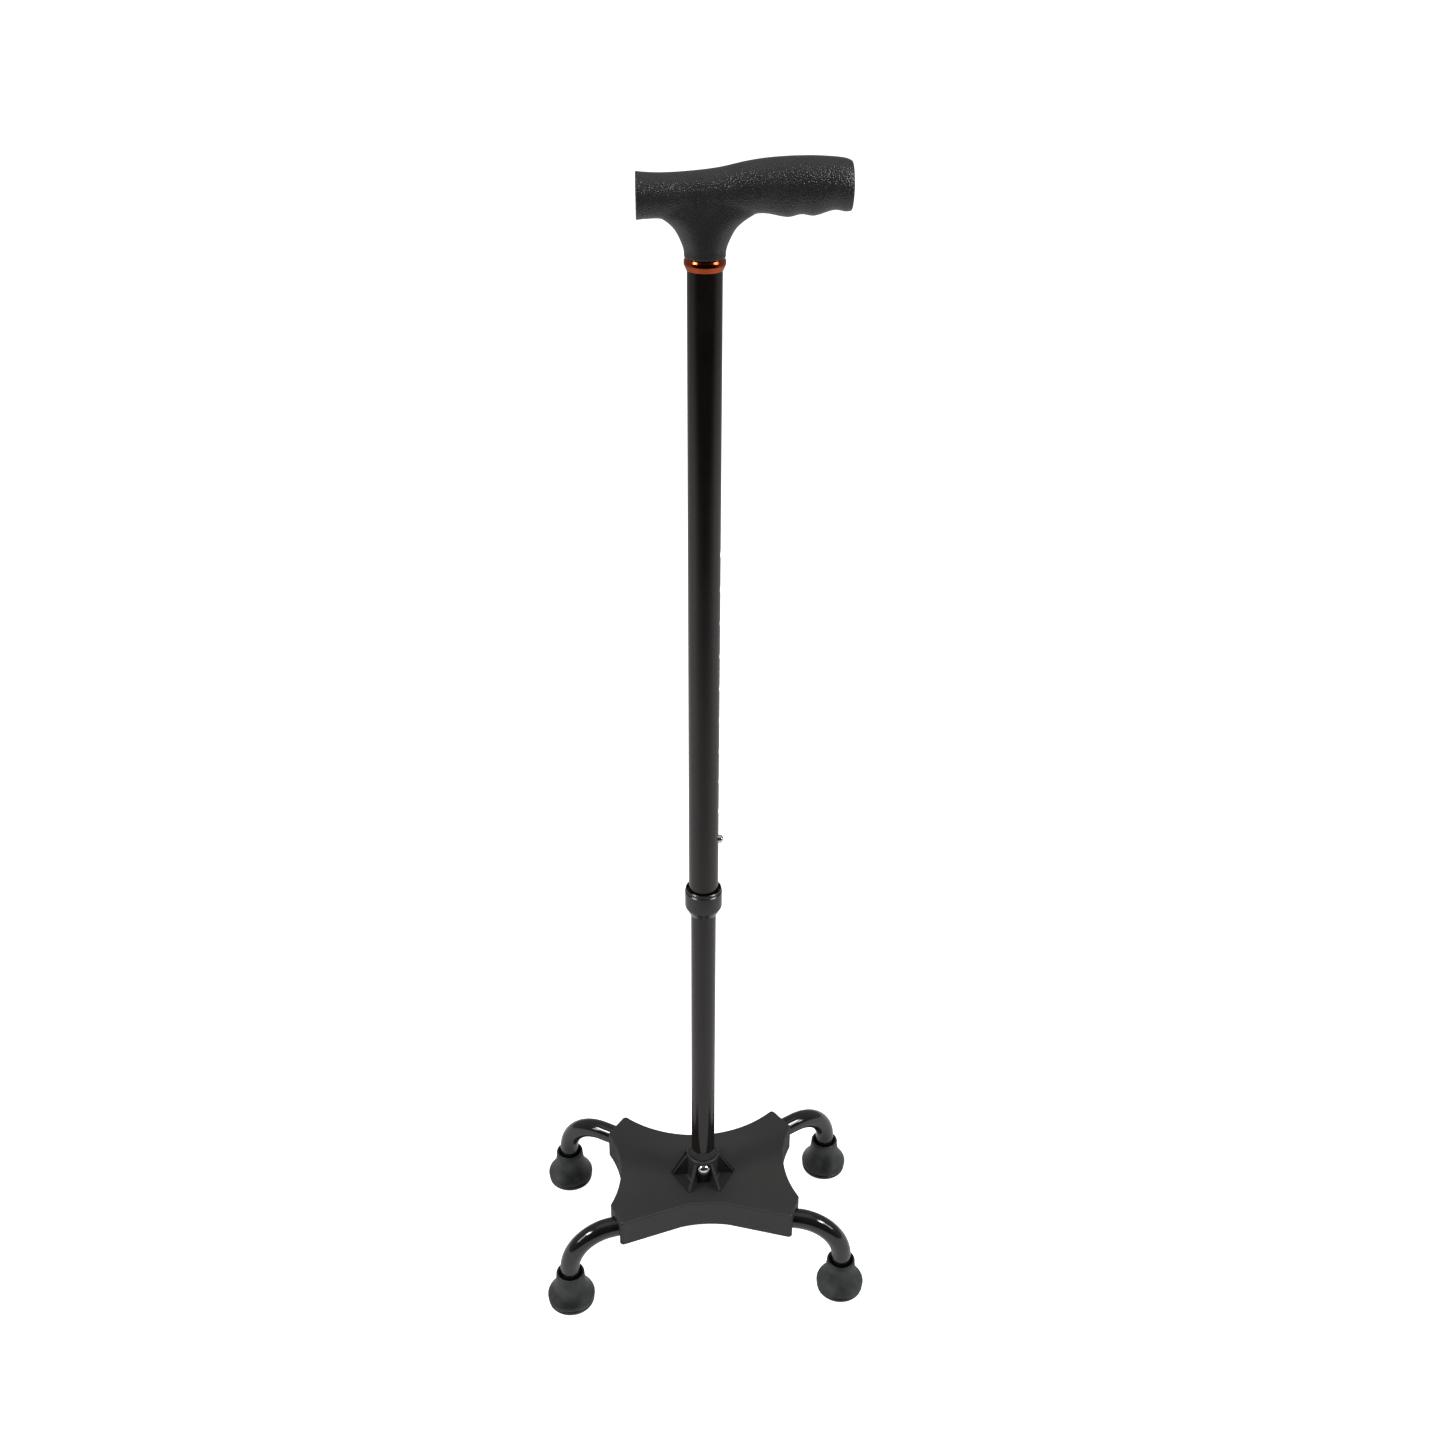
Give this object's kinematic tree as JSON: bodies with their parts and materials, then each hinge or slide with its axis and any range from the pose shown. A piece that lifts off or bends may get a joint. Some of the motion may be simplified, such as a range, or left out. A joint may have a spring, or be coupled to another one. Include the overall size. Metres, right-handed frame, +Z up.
{
  "type": "quad walking cane",
  "caption": "Height-adjustable walking cane: contoured grip on a telescoping shaft with snap button and twist lock, standing on a covered base with splayed rubber-footed legs.",
  "frame": {"origin": "on the floor at the middle of the footprint of the whole cane", "axes": "+Z up the shaft, +X along the grip's long arm, -Y towards the base's short-reaching side"},
  "size_m": [0.2694, 0.1762, 0.9046],
  "materials": {
    "grip_moulding": "pebble-grained black moulding, slightly glossy on the grain",
    "grip_insert": "smooth black",
    "ring_copper": "glossy copper-red anodised, darker band above a bright chamfer",
    "tube_black": "gloss black anodised with a slight brown cast",
    "lock_plastic": "satin charcoal",
    "inner_plastic": "natural acetal",
    "bright_steel": "polished",
    "spring_steel": "blued strip, satin",
    "cover_plastic": "fine-textured charcoal moulding",
    "plate_steel": "black powder coat",
    "leg_paint": "gloss black paint",
    "foot_rubber": "dark grey, faintly blue-green, matt",
    "disc_steel": "zinc plated"
  },
  "bodies": {
    "base": {"lower_tube": "tube_black", "glide_plug": "inner_plastic", "snap_spring": "spring_steel", "base_cover": "cover_plastic", "base_plate": "plate_steel", "shaft_socket": "plate_steel", "hub_bolt": "bright_steel", "hub_washer": "bright_steel", "hub_nut": "bright_steel", "foot_discs": "disc_steel", "leg_front_left": "leg_paint", "foot_front_left": "foot_rubber", "leg_front_right": "leg_paint", "foot_front_right": "foot_rubber", "leg_back_left": "leg_paint", "foot_back_left": "foot_rubber", "leg_back_right": "leg_paint", "foot_back_right": "foot_rubber"},
    "telescope": {"upper_tube": "tube_black", "thread_sleeve": "inner_plastic", "neck_ring": "ring_copper", "handle_core": "grip_insert", "handle_grip": "grip_moulding"},
    "clamp": {"clamp_ring": "inner_plastic"},
    "nut": {"lock_nut": "lock_plastic"},
    "button": {"snap_button": "bright_steel"}
  },
  "joints": [
    {"name": "height_slide", "type": "slide", "parent": "base", "child": "telescope", "axis": [0, 0, 1], "range_m": [-0.2286, 0], "deforming": ["snap_button", "snap_spring"]},
    {"name": "button_press", "type": "slide", "parent": "base", "child": "button", "axis": [-1, 0, 0], "range_m": [0, 0.0048], "stiffness_N_per_m": 1200, "springref_m": -0.003, "deforming": ["snap_spring"]},
    {"name": "clamp_creep", "type": "slide", "parent": "telescope", "child": "clamp", "axis": [0, 0, -1], "range_m": [0, 0.0015]},
    {"name": "lock_turn", "type": "hinge", "parent": "clamp", "child": "nut", "pos_m": [0, -0.01655, 0.367], "axis": [0, 0, -1], "range_deg": [0, 270]}
  ],
  "couplings": [
    {"joint": "lock_turn", "follows": "clamp_creep", "rad_per_m": 3141.6}
  ]
}
